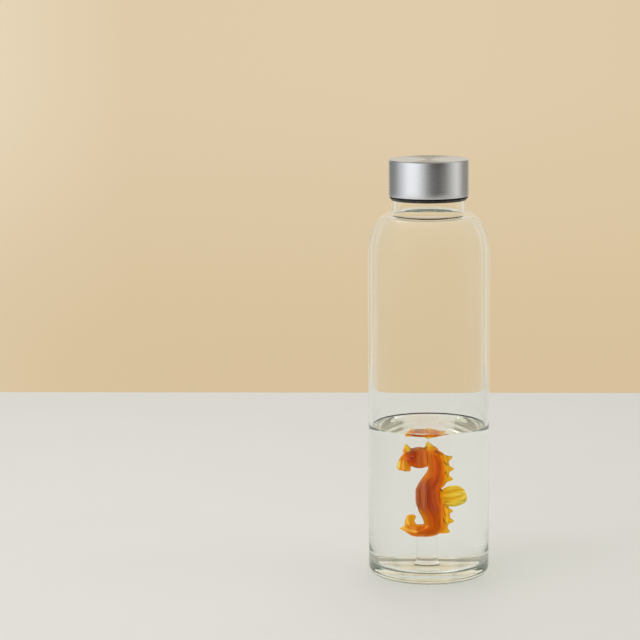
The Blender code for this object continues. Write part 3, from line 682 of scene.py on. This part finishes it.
# stringers of other ambers laid along the rods, and a few painted highlights: x, z, x, z, half width,
# colour, strength
stringersAndHighlights = (
    # trunk
    (-0.4, 53.0, -0.1, 47.0, 0.85, (142, 50, 14), 0.75),
    (-0.1, 47.0, 0.0, 38.5, 0.75, (138, 46, 12), 0.8), (-2.3, 51.5, -1.9, 46.0, 0.80, (168, 92, 70), 0.8),
    (-1.9, 46.0, -2.2, 38.0, 0.65, (168, 90, 62), 0.8),
    (-3.5, 47.0, -3.4, 41.0, 0.65, (150, 72, 12), 0.75), (2.9, 41.5, 3.1, 35.6, 0.5, (168, 76, 44), 0.6),
    (1.3, 40.5, 1.6, 35.6, 0.45, (168, 72, 38), 0.5), (4.1, 48.5, 4.1, 39.5, 0.7, (214, 92, 8), 0.8),
    (3.5, 40.0, 3.4, 34.5, 0.45, (176, 54, 4), 0.6), (-3.2, 36.5, -1.3, 31.0, 0.9, (192, 118, 2), 0.75),
    (-3.4, 39.5, -2.6, 36.5, 0.5, (196, 92, 34), 0.7),
    # crest beside the trunk's lower half
    (5.2, 40.0, 5.6, 34.5, 0.55, (234, 138, 22), 0.7), (5.6, 34.5, 5.4, 28.5, 0.55, (230, 132, 24), 0.7),
    (7.1, 38.0, 7.4, 34.0, 0.7, (228, 176, 40), 0.8), (7.5, 33.0, 7.2, 28.0, 0.7, (230, 184, 44), 0.85),
    # bend and tail
    (-6.0, 23.2, -1.0, 22.7, 1.0, (190, 98, 18), 0.6), (-1.0, 22.7, 3.0, 23.8, 1.0, (168, 76, 6), 0.7),
    (-0.6, 24.7, 1.8, 25.2, 1.0, (162, 58, 0), 0.75), (-4.9, 26.8, -1.8, 27.0, 0.9, (192, 90, 2), 0.7),
    (-10.4, 25.7, -5.6, 24.6, 1.4, (232, 170, 62), 0.9),
    (-7.6, 27.2, -5.2, 26.2, 0.5, (236, 160, 68), 0.7),
    # painted highlight: the light arc over the tail bend, in the next two entries
    (-0.5, 27.8, -1.5, 26.5, 0.5, (246, 140, 62), 1.0),
    (-1.5, 26.5, -4.4, 24.8, 0.42, (214, 124, 36), 0.8),
    (-9.0, 31.6, -8.4, 28.4, 0.9, (234, 186, 72), 0.9),
    (-7.1, 32.0, -7.0, 28.8, 0.6, (198, 140, 12), 0.8),
    # neck and crown
    (1.5, 65.5, 1.4, 57.0, 0.45, (172, 82, 4), 0.65), (4.3, 63.5, 4.2, 56.0, 0.65, (172, 70, 2), 0.65),
    (3.0, 62.0, 3.3, 54.5, 0.6, (200, 76, 24), 0.6), (5.6, 61.5, 5.9, 55.0, 0.6, (214, 100, 4), 0.6),
    (0.0, 70.9, 2.0, 70.1, 1.3, (208, 150, 24), 0.8), (-0.3, 73.5, 0.2, 71.6, 0.9, (214, 190, 84), 0.8),
    (0.4, 68.6, 3.0, 67.0, 1.0, (208, 116, 6), 0.7), (4.8, 65.6, 6.6, 64.9, 0.8, (228, 142, 4), 0.7),
    # head: brow, cheek, the swirl round the eye
    (-6.4, 69.6, -0.9, 70.2, 1.1, (194, 116, 28), 0.7), (-7.8, 61.2, -2.0, 60.8, 1.1, (196, 96, 8), 0.75),
    (-6.9, 62.5, -5.8, 62.7, 1.0, (190, 70, 0), 0.8), (-9.3, 71.5, -8.4, 69.2, 1.5, (222, 182, 44), 0.9),
    (-8.9, 65.7, -7.1, 66.3, 0.30, (142, 42, 0), 0.7), (-7.1, 66.3, -5.2, 65.6, 0.30, (142, 42, 0), 0.7),
    (-8.5, 66.8, -6.8, 67.3, 0.28, (150, 46, 0), 0.6), (-6.8, 67.3, -4.8, 66.7, 0.28, (150, 46, 0), 0.6),
    # painted highlight: the pink arc under the eye's dark swirl, in the next three entries
    (-9.3, 64.3, -8.1, 65.0, 0.5, (212, 100, 62), 0.95),
    (-8.1, 65.0, -6.8, 64.7, 0.5, (208, 94, 54), 0.95),
    (-6.8, 64.7, -5.9, 63.8, 0.45, (192, 78, 36), 0.7), (-8.2, 63.3, -6.7, 63.4, 0.6, (158, 42, 0), 0.9),
    # snout and lips
    (-12.4, 62.4, -12.6, 59.4, 1.0, (222, 202, 100), 0.9),
    (-10.8, 63.0, -10.4, 58.0, 0.8, (230, 164, 60), 0.9),
    (-12.2, 58.2, -9.6, 57.0, 0.5, (214, 150, 62), 0.9),
    (-13.6, 59.6, -12.4, 58.9, 0.5, (224, 200, 110), 0.9),
    (-9.2, 62.6, -8.9, 59.2, 0.6, (196, 134, 4), 0.85),
    (-9.0, 57.6, -8.7, 58.0, 0.6, (196, 156, 46), 0.8),
)


def through(stations, steps):  # Catmull-Rom points through the stations
    given = np.array(stations, float)
    last = len(given) - 1
    found = []
    for i in range(last):
        a, b, c, d = (given[min(max(i + k, 0), last)] for k in (-1, 0, 1, 2))
        for step in range(steps):
            t = step / steps
            found.append(0.5 * (2 * b + (c - a) * t + (2 * a - 5 * b + 4 * c - d) * t * t
                                + (3 * b - a - 3 * c + d) * t ** 3))
    return np.array(found + [given[-1]])


def tube(stations, steps=8, sides=36, ends=(1.0, 1.0), swell=None):
    # a closed rod with domed ends; swell scales its depth by where a point lies across it
    line = through(stations, steps)
    centres = np.stack([line[:, 0], np.zeros(len(line)), line[:, 1]], 1)
    ways = np.gradient(centres, axis=0)
    ways /= np.linalg.norm(ways, axis=1)[:, None]
    turns = tau * np.arange(sides) / sides
    across, deep = np.cos(turns), np.sin(turns) * (swell(np.cos(turns)) if swell else 1)
    rings = []

    def ring(centre, way, width, depth):
        side = np.array([-way[2], 0, way[0]])
        rings.append(centre + np.outer(across * width, side) + np.outer(deep * depth, (0, 1, 0)))

    def dome(i, sign, end, angle):
        ring(centres[i] + sign * ways[i] * line[i, 2] * end * sin(angle), ways[i],
             line[i, 2] * cos(angle), line[i, 3] * cos(angle))

    domes = np.radians([78, 62, 46, 30, 15])
    for angle in domes:
        dome(0, -1, ends[0], angle)
    for centre, way, (_, _, width, depth) in zip(centres, ways, line):
        ring(centre, way, width, depth)
    for angle in domes[::-1]:
        dome(-1, 1, ends[1], angle)
    tips = [centres[0] - ways[0] * line[0, 2] * ends[0], centres[-1] + ways[-1] * line[-1, 2] * ends[1]]
    points = np.concatenate(rings + [np.array(tips)])
    faces = []
    for low in range(0, (len(rings) - 1) * sides, sides):
        for j in range(sides):
            k = (j + 1) % sides
            faces.append((low + j, low + k, low + sides + k, low + sides + j))
    top = (len(rings) - 1) * sides
    for j in range(sides):
        k = (j + 1) % sides
        faces.append((k, j, len(points) - 2))
        faces.append((top + j, top + k, len(points) - 1))
    return points, faces


def drawnPoint(baseX, baseZ, tipX, tipZ, width, bend):
    base, end = np.array([baseX, baseZ]), np.array([tipX, tipZ])
    sag = np.array([baseZ - tipZ, tipX - baseX]) * bend
    stations = []
    for share, size in figure["taper"]:
        at = base + (end - base) * share + sag * sin(pi * share)
        half = figure["tip"] + (width - figure["tip"]) * size
        stations.append((*at, half, min(half, figure["pointDepth"])))
    return tube(stations, steps=3, sides=20)


def drop(centre, half, rings=24, segments=36):
    points = [(0, 0, -1)]
    for i in range(1, rings):
        a = pi * i / rings - pi / 2
        points += [(cos(a) * cos(b), cos(a) * sin(b), sin(a)) for b in tau * np.arange(segments) / segments]
    points.append((0, 0, 1))
    faces = []
    for j in range(segments):
        k = (j + 1) % segments
        faces.append((0, 1 + k, 1 + j))
        faces.append((len(points) - 1, len(points) - 1 - segments + j, len(points) - 1 - segments + k))
        for i in range(rings - 2):
            low = 1 + i * segments
            faces.append((low + j, low + k, low + segments + k, low + segments + j))
    return np.array(points) * np.array(half) + np.array(centre), faces


def meshOf(name, solids):  # several closed solids as one mesh
    points, faces = [], []
    for somePoints, someFaces in solids:
        faces += [tuple(i + len(points) for i in face) for face in someFaces]
        points += [tuple(p) for p in somePoints]
    mesh = bpy.data.meshes.new(name)
    mesh.from_pydata(points, [], faces)
    return mesh


def makeRibTree():
    # drops of glass at even steps along a line
    g, given = newTree("bellyRibs", (("Line", "Geometry"), ("Count", "Int"), ("Half Size", "Vector"),
                                     ("Finish", "Material")), "Ribs")
    line = g.add("GeometryNodeMeshToCurve", Mesh=given.other("Line"))
    even = g.add("GeometryNodeResampleCurve", Curve=line, Count=given.other("Count"))
    ball = g.add("GeometryNodeMeshUVSphere", Segments=28, Rings=18, Radius=1.0)
    tangent = g.add("GeometryNodeInputTangent")
    way = g.add("FunctionNodeAlignRotationToVector", {"axis": "Z"}, Vector=tangent)
    ribs = g.add("GeometryNodeInstanceOnPoints", Points=even, Instance=ball, Rotation=way,
                 Scale=given.other("Half Size"))
    return finishTree(g, given, ribs, "Ribs")


def bellyRibs(finish):
    # the line runs down the front of the rod, a little inside it
    rod = through(figure["body"], 8)
    inside = rod[(rod[:, 1] <= belly["top"]) & (rod[:, 1] >= belly["bottom"])]
    front = [(x - w + belly["half"][0] * 0.7, 0, z) for x, z, w, _ in inside]
    mesh = bpy.data.meshes.new("bellyLine")
    mesh.from_pydata(front, [(i, i + 1) for i in range(len(front) - 1)], [])
    obj = newObject("bellyLine", mesh)
    modifier = obj.modifiers.new("ribs", "NODES")
    modifier.node_group = makeRibTree()
    setInputs(modifier, {"Count": belly["ribs"], "Half Size": belly["half"], "Finish": finish})
    made = plainMesh(obj, "bellyRibs")
    points = np.array([v.co for v in made.data.vertices])
    faces = [tuple(p.vertices) for p in made.data.polygons]
    bpy.data.objects.remove(made, do_unlink=True)
    return points, faces


def meshArrays(mesh):
    points = np.empty(len(mesh.vertices) * 3)
    mesh.vertices.foreach_get("co", points)
    edges = np.empty(len(mesh.edges) * 2, int)
    mesh.edges.foreach_get("vertices", edges)
    return points.reshape(-1, 3), edges.reshape(-1, 2)


def pulls(points, edges):  # from each point to the middle of its neighbours
    count = np.bincount(edges.ravel(), minlength=len(points))
    total = np.stack([
        np.bincount(edges[:, 0], points[edges[:, 1], k], len(points))
        + np.bincount(edges[:, 1], points[edges[:, 0], k], len(points)) for k in range(3)], 1)
    return total / count[:, None] - points


def setPoints(mesh, points):
    mesh.vertices.foreach_set("co", points.ravel())
    mesh.update()


def melt(mesh):
    # fills the creases where rods meet, then takes out the steps of the voxels without shrinking
    points, edges = meshArrays(mesh)
    for _ in range(figure["meltRounds"]):
        normals = np.array([v.normal for v in mesh.vertices])
        pull = pulls(points, edges)
        filled = (pull * normals).sum(1) > 0
        points[filled] += figure["fill"] * pull[filled]
        setPoints(mesh, points)
    for _ in range(figure["smoothRounds"]):
        points = points + figure["relax"] * pulls(points, edges)
        points = points - figure["restore"] * pulls(points, edges)
    setPoints(mesh, points)


def ease(value, start, end):
    t = np.clip((value - start) / (end - start), 0, 1)
    return t * t * (3 - 2 * t)


def toSegment(points, x0, z0, x1, z1):  # distance in XZ
    a, b = np.array([x0, z0]), np.array([x1, z1])
    rel = points[:, [0, 2]] - a
    share = np.clip(rel @ (b - a) / ((b - a) @ (b - a)), 0, 1)
    return np.linalg.norm(rel - share[:, None] * (b - a), axis=1)


def flowOf(points):
    # length along the main rod, place across it from -1 at the front to 1 at the back, and y
    line = through(figure["body"], 14)
    middles = line[:, :2]
    steps = np.linalg.norm(np.diff(middles, axis=0), axis=1)
    length = np.concatenate([[0], np.cumsum(steps)])
    ways = np.gradient(middles, axis=0)
    ways /= np.linalg.norm(ways, axis=1)[:, None]
    flat = points[:, [0, 2]]
    gaps = ((flat[:, None, :] - middles[None, :, :]) ** 2).sum(2) / line[None, :, 2] ** 2
    nearest = gaps.argmin(1)
    rel = flat - middles[nearest]
    way = ways[nearest]
    across = (rel[:, 1] * -way[:, 0] + rel[:, 0] * way[:, 1]) / line[nearest, 2]
    return np.stack([length[nearest], -across, points[:, 1]], 1)


def addAttribute(mesh, name, values, kind="FLOAT"):
    attribute = mesh.attributes.new(name, kind, "POINT")
    field = {"FLOAT": "value", "FLOAT_VECTOR": "vector", "FLOAT_COLOR": "color"}[kind]
    attribute.data.foreach_set(field, np.ascontiguousarray(values).ravel())


def stringersAndHighlightsOn(points):  # the colour of the stringers and painted highlights at each point, with how much of it shows
    shown = np.zeros((len(points), 4))
    for x0, z0, x1, z1, half, colour, strength in stringersAndHighlights:
        share = (strength * ease(toSegment(points, x0, z0, x1, z1), half, half * 0.2))[:, None]
        shown[:, :3] = shown[:, :3] * (1 - share) + np.array(linear(colour)[:3]) * share
        shown[:, 3:] = shown[:, 3:] * (1 - share) + share
    shown[:, :3] /= np.maximum(shown[:, 3:], 1e-6)
    return shown


# painted shade along the crease lines
def creaseShadeOn(points):
    scorch = np.zeros(len(points))
    for x0, z0, x1, z1, half, strength in creaseShadeLines:
        scorch = np.maximum(scorch, strength * ease(toSegment(points, x0, z0, x1, z1), half, half * 0.25))
    return scorch


def ribBelly(mesh, points, flow):  # small rings across the front of the belly
    z = points[:, 2]
    where = ease(z, *belly["fromBelow"]) * ease(z, *belly["fromAbove"])
    where *= ease(flow[:, 1], *belly["across"]) * ease(np.abs(points[:, 1]), *belly["deep"])
    wave = np.cos(tau * (z - belly["bottom"]) / belly["pitch"])
    normals = np.array([v.normal for v in mesh.vertices])
    setPoints(mesh, points + normals * (where * wave * belly["relief"])[:, None])
    # the grooves between the rings, for painted shade in them
    return where * ease(wave, -0.2, -1.0)


def glassDepthOf(mesh, points):
    # half the glass seen from the side, half what lies straight under the surface
    tree = BVHTree.FromPolygons([tuple(p) for p in points], [tuple(p.vertices) for p in mesh.polygons])
    under = np.zeros(len(points))
    for i, vertex in enumerate(mesh.vertices):
        start = vertex.co - vertex.normal * 0.02
        hit = tree.ray_cast(start, -vertex.normal)
        under[i] = hit[3] if hit[3] else 0.0
    under = np.minimum(under, amberLook["deepest"])
    return amberLook["sideShare"] * np.abs(points[:, 1]) + amberLook["underShare"] * under


def paint(mesh):
    points, edges = meshArrays(mesh)
    flow = flowOf(points)
    grooves = ribBelly(mesh, points, flow)
    depth = glassDepthOf(mesh, points)
    for _ in range(figure["depthRounds"]):
        depth = depth + 0.5 * pulls(np.stack([depth] * 3, 1), edges)[:, 0]
    x, z = points[:, 0], points[:, 2]
    along, across = flow[:, 0], flow[:, 1]
    head = ease(x, *zoneFades["headX"]) * ease(z, *zoneFades["headZ"])
    neck = ease(z, *zoneFades["neckZ"]) * (1 - head)
    tail = ease(z, *zoneFades["tailZ"])
    inside = ease(np.abs(across), *zoneFades["rodSide"])
    inside *= ease(along.max() - along, *zoneFades["tailTip"])
    inHead = ease(x, *zoneFades["snoutEnd"]) * ease(x + z, *zoneFades["chin"])
    inHead *= ease(z + 0.35 * x, *zoneFades["brow"])
    core = inside * (1 - head) * ease(z - 0.5 * x, *zoneFades["crown"]) + inHead * head
    normals = np.array([v.normal for v in mesh.vertices])
    edge, upright = np.abs(normals[:, 1]), normals[:, 2]
    flow[:, 0] = flow[:, 0] * (1 - head) + z * head
    headAcross = 2 * (x - headSpan[0]) / (headSpan[1] - headSpan[0]) - 1
    flow[:, 1] = flow[:, 1] * (1 - head) + headAcross * head
    addAttribute(mesh, "glassDepth", depth)
    addAttribute(mesh, "core", core)
    # painted shade in the creases at the points' roots and in the belly's rib grooves
    addAttribute(mesh, "scorch", np.maximum(creaseShadeOn(points), 0.4 * grooves))
    addAttribute(mesh, "stringer", stringersAndHighlightsOn(points), "FLOAT_COLOR")
    # painted shade: the outline, where the surface faces neither front nor back, is painted darker
    addAttribute(mesh, "rim", 0.45 * ease(edge, *zoneFades["rim"]) * (0.25 + 0.75 * core))
    # painted shade: glass on the head that faces up is painted browner
    facesUp = ease(upright, *zoneFades["facesUp"]) * ease(z, *zoneFades["facesUpZ"])
    addAttribute(mesh, "edgeOn", 0.85 * facesUp * (0.6 + 0.4 * core))
    addAttribute(mesh, "flow", flow, "FLOAT_VECTOR")
    addAttribute(mesh, "zones", np.stack([head, neck, tail], 1), "FLOAT_VECTOR")


def finishMesh(mesh, material):  # smooth, in metres, in one material
    mesh.shade_smooth()
    mesh.transform(Matrix.Scale(mm, 4))
    mesh.materials.clear()
    mesh.materials.append(material)


def addRemesh(obj, name):
    remesh = obj.modifiers.new(name, "REMESH")
    remesh.mode = "VOXEL"
    remesh.voxel_size = figure["voxel"]


def makeSkin(amber):
    x, z, halfX, halfY, halfZ = figure["skull"]
    solids = [
        tube(figure["body"], steps=10, sides=48), drop((x, 0, z), (halfX, halfY, halfZ)),
        tube(figure["snout"], steps=8, sides=40, ends=(1.0, 0.15)),
        tube(figure["neckCrest"]), tube(figure["tailCrest"]), bellyRibs(amber),
    ]
    solids += [drawnPoint(*point) for point in figure["points"]]
    mesh = meshOf("seahorseSkin", solids)
    obj = newObject("seahorseRods", mesh)
    addRemesh(obj, "melt")
    x, z, half, depth = figure["mouth"]
    hollow = newObject("mouthHollow", meshOf("mouthHollow", [drop((x, 0, z), (half, depth, half))]))
    hollow.hide_render = True
    cut = obj.modifiers.new("mouth", "BOOLEAN")
    cut.operation, cut.solver, cut.object = "DIFFERENCE", "MANIFOLD", hollow
    addRemesh(obj, "meltAgain")
    skin = plainMesh(obj, "seahorseSkin")
    bpy.data.objects.remove(hollow, do_unlink=True)
    melt(skin.data)
    paint(skin.data)
    finishMesh(skin.data, amber)
    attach(skin, "bottle")
    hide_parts(*[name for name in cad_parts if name.startswith("seahorse_")
                        and "eye" not in name and "fin" not in name])
    tell("skin", skin)


def makeFin(amber):
    def swell(c):
        lines = sum(np.exp(-((c - groove) / fin["grooveWidth"]) ** 2) for groove in fin["grooves"])
        return 1 - fin["grooveDepth"] * lines

    mesh = meshOf("seahorseFin", [tube(fin["stations"], steps=10, sides=120, ends=(0.2, 0.2), swell=swell)])
    points, _ = meshArrays(mesh)
    x, y, z = points.T
    line = through(fin["stations"], 10)
    share = (z - np.interp(x, line[:, 0], line[:, 1])) / np.interp(x, line[:, 0], line[:, 2])
    width = 1.1 * fin["grooveWidth"]
    grooves = sum(np.exp(-((share - groove) / width) ** 2) for groove in fin["grooves"])
    shown = np.zeros((len(points), 4))
    shown[:, :3] = linear(fin["grooveColour"])[:3]
    shown[:, 3] = np.clip(0.85 * grooves, 0, 0.85) * ease(x, *fin["grooveEnd"])
    low = ease(share, *fin["edge"])
    shown[:, :3] += (np.array(linear(fin["edgeColour"])[:3]) - shown[:, :3]) * low[:, None]
    shown[:, 3] = np.maximum(shown[:, 3], 0.7 * low)
    depth = 0.8 + 0.5 * grooves + 1.8 * ease(x, *fin["root"]) + 0.5 * ease(x, *fin["middle"])
    addAttribute(mesh, "glassDepth", depth)
    for name in ("core", "rim", "edgeOn"):
        addAttribute(mesh, name, np.zeros(len(points)))
    # painted shade in the creases where the fin meets the body
    addAttribute(mesh, "scorch", creaseShadeOn(points))
    addAttribute(mesh, "stringer", shown, "FLOAT_COLOR")
    addAttribute(mesh, "flow", np.stack([x, z / 9, y], 1), "FLOAT_VECTOR")
    addAttribute(mesh, "zones", np.zeros((len(points), 3)), "FLOAT_VECTOR")
    finishMesh(mesh, amber)
    obj = newObject("seahorseFin", mesh)
    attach(obj, "bottle")
    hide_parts("seahorse_dorsal_fin")
    tell("fin", obj)


def makeEyes():
    for side in ("left", "right"):
        low, high = boxOf("seahorse_eye_" + side)
        centre, half = (low + high) / 2, (high - low) / 2
        mesh = meshOf("seahorseEye", [drop(centre, half, 20, 32)])
        finishMesh(mesh, eyeMaterial("eyeGlass" + side.title(), centre))
        obj = newObject("seahorseEye" + side.title(), mesh)
        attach(obj, "bottle")
        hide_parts("seahorse_eye_" + side)
    print("eyes")


# floor, light and camera, with lengths in metres
stageLook = {
    "floor": (224, 223, 219), "patches": 8, "roughness": 0.6,
    "back": 0.53, "front": -0.8, "side": 0.9, "thick": 0.03, "edge": 0.003,
}
wallEdge = (  # what the curved glass at either side shows of the wall, by degrees away from the front
    (134, (230, 222, 206)), (146, (236, 226, 204)), (154, (234, 220, 193)), (160, (226, 212, 184)),
    (163, (200, 189, 163)), (166, (226, 210, 181)), (169, (232, 216, 188)),
)
studioLook = {
    # by azimuth, from straight back (-180) over left, front (0) and right to straight back again
    "wall": (
        (-180, (224, 204, 171)), (-173, (223, 203, 170)),
        *[(-angle, colour) for angle, colour in wallEdge[::-1]],
        (-90, (226, 222, 212)), (0, (214, 209, 198)), (90, (226, 222, 212)), *wallEdge,
        (173, (222, 201, 167)), (180, (224, 204, 171)),
    ),
    "room": (
        (-180, (204, 197, 183)), (-160, (206, 198, 180)), (-145, (122, 119, 112)), (-112, (126, 126, 124)),
        (-84, (198, 200, 202)), (-58, (254, 255, 255)), (-34, (246, 248, 250)), (-14, (186, 185, 182)),
        (4, (98, 96, 92)), (28, (56, 54, 50)), (48, (104, 102, 98)), (66, (180, 179, 174)),
        (88, (226, 224, 218)), (114, (138, 134, 128)), (145, (138, 133, 124)), (160, (206, 198, 180)),
        (180, (204, 197, 183)),
    ),
    "wallLow": (216, 193, 156), "pale": (226, 223, 214), "ceiling": (214, 213, 209),
    "ground": (150, 148, 142), "strength": 1.0, "roomGain": 1.28,
}
lights = (
    # name, place, size, watts
    ("windowLeft", (-1.15, -0.75, 0.62), (0.8, 1.1), 4.4),
    ("softTop", (-0.3, 0.1, 1.4), (1.3, 1.3), 8.0),
)
cameraSetup = {
    "distance": 1.3, "height": 0.3426, "lens": 137.99, "yaw": -2.569, "pitch": -8.916, "roll": -0.4,
}


def makeStage():
    mesh = bpy.data.meshes.new("floor")
    s = stageLook
    shape = bmesh.new()
    middle = Matrix.Translation((0, (s["back"] + s["front"]) / 2, -s["thick"] / 2))
    size = Matrix.Diagonal((2 * s["side"], s["back"] - s["front"], s["thick"], 1))
    bmesh.ops.create_cube(shape, size=1.0, matrix=middle @ size)
    bmesh.ops.bevel(shape, geom=shape.edges[:], offset=s["edge"], segments=3, affect="EDGES")
    shape.to_mesh(mesh)
    shape.free()
    made, g = newMaterial("paleFloor")
    grain = g.noise(g.place(), 14.0, 4.0)
    colour = g.blend(grain * 0.5, linear(s["floor"]), linear([c - s["patches"] for c in s["floor"]]))
    g.finish(BaseColor=colour, Roughness=s["roughness"])
    mesh.materials.append(made)
    newObject("floor", mesh)


def makeLight():
    world = bpy.data.worlds.new("studio")
    world.use_nodes = True
    world.node_tree.nodes.clear()
    g = Graph(world.node_tree)
    look = studioLook
    way = g.apart(g.add("ShaderNodeTexCoord").other("Generated"))
    turn = g.maths("ARCTAN2", way, way.other("Y") * -1.0) / tau + 0.5

    def around(stops):
        return g.ramp([(angle / 360 + 0.5, colour) for angle, colour in stops], turn)

    high = way.other("Z")
    room = g.times(around(look["room"]), look["roomGain"])
    room = g.blend(g.fade(high, 0.45, 0.85), room, linear(look["ceiling"]))
    room = g.blend(g.fade(high, -0.30, -0.60), room, linear(look["ground"]))
    wall = around(look["wall"])
    low = g.blend(g.fade(way.other("Y"), 0.93, 0.985), wall, linear(look["wallLow"]))
    wall = g.blend(g.fade(high, -0.05, -0.19), wall, low)
    wall = g.blend(g.fade(g.maths("ABSOLUTE", high), 0.24, 0.45), wall, linear(look["pale"]))
    path = g.add("ShaderNodeLightPath")
    seen = g.maths("MAXIMUM", path.other("Is Camera Ray"), path.other("Is Transmission Ray"))
    sky = g.add("ShaderNodeBackground", Color=g.blend(seen, room, wall), Strength=look["strength"])
    g.add("ShaderNodeOutputWorld", Surface=sky)
    bpy.context.scene.world = world
    for name, place, size, watts in lights:
        lamp = bpy.data.lights.new(name, "AREA")
        lamp.shape = "RECTANGLE"
        lamp.size, lamp.size_y = size
        lamp.energy = watts
        obj = newObject(name, lamp)
        obj.location = place
        obj.rotation_euler = (Vector((0, 0, 0.1)) - Vector(place)).to_track_quat("-Z", "Y").to_euler()
        obj.visible_glossy = False


def makeCamera():
    c = cameraSetup
    yaw, pitch, roll = radians(c["yaw"]), radians(c["pitch"]), radians(c["roll"])
    forward = Vector((sin(yaw) * cos(pitch), cos(yaw) * cos(pitch), sin(pitch)))
    right = Vector((cos(yaw), -sin(yaw), 0))
    up = right.cross(forward)
    right, up = right * cos(roll) + up * sin(roll), up * cos(roll) - right * sin(roll)
    data = bpy.data.cameras.new("camera")
    data.lens = c["lens"]
    data.clip_start = 0.05
    camera = newObject("camera", data)
    camera.matrix_world = Matrix.Translation((0, -c["distance"], c["height"])) @ Matrix(
        (right, up, -forward)).transposed().to_4x4()
    bpy.context.scene.camera = camera


makeCamera()
makeStage()
makeLight()
makeBottle()
makeWater()
makePost()
makeCap()
amber = amberMaterial()
makeSkin(amber)
makeFin(amber)
makeEyes()

cycles = bpy.context.scene.cycles
bounces = 48  # light turns many times inside clear walls
cycles.max_bounces = bounces
cycles.glossy_bounces = bounces
cycles.transmission_bounces = bounces
cycles.transparent_max_bounces = 32
bpy.context.scene.view_settings.view_transform = "Standard"
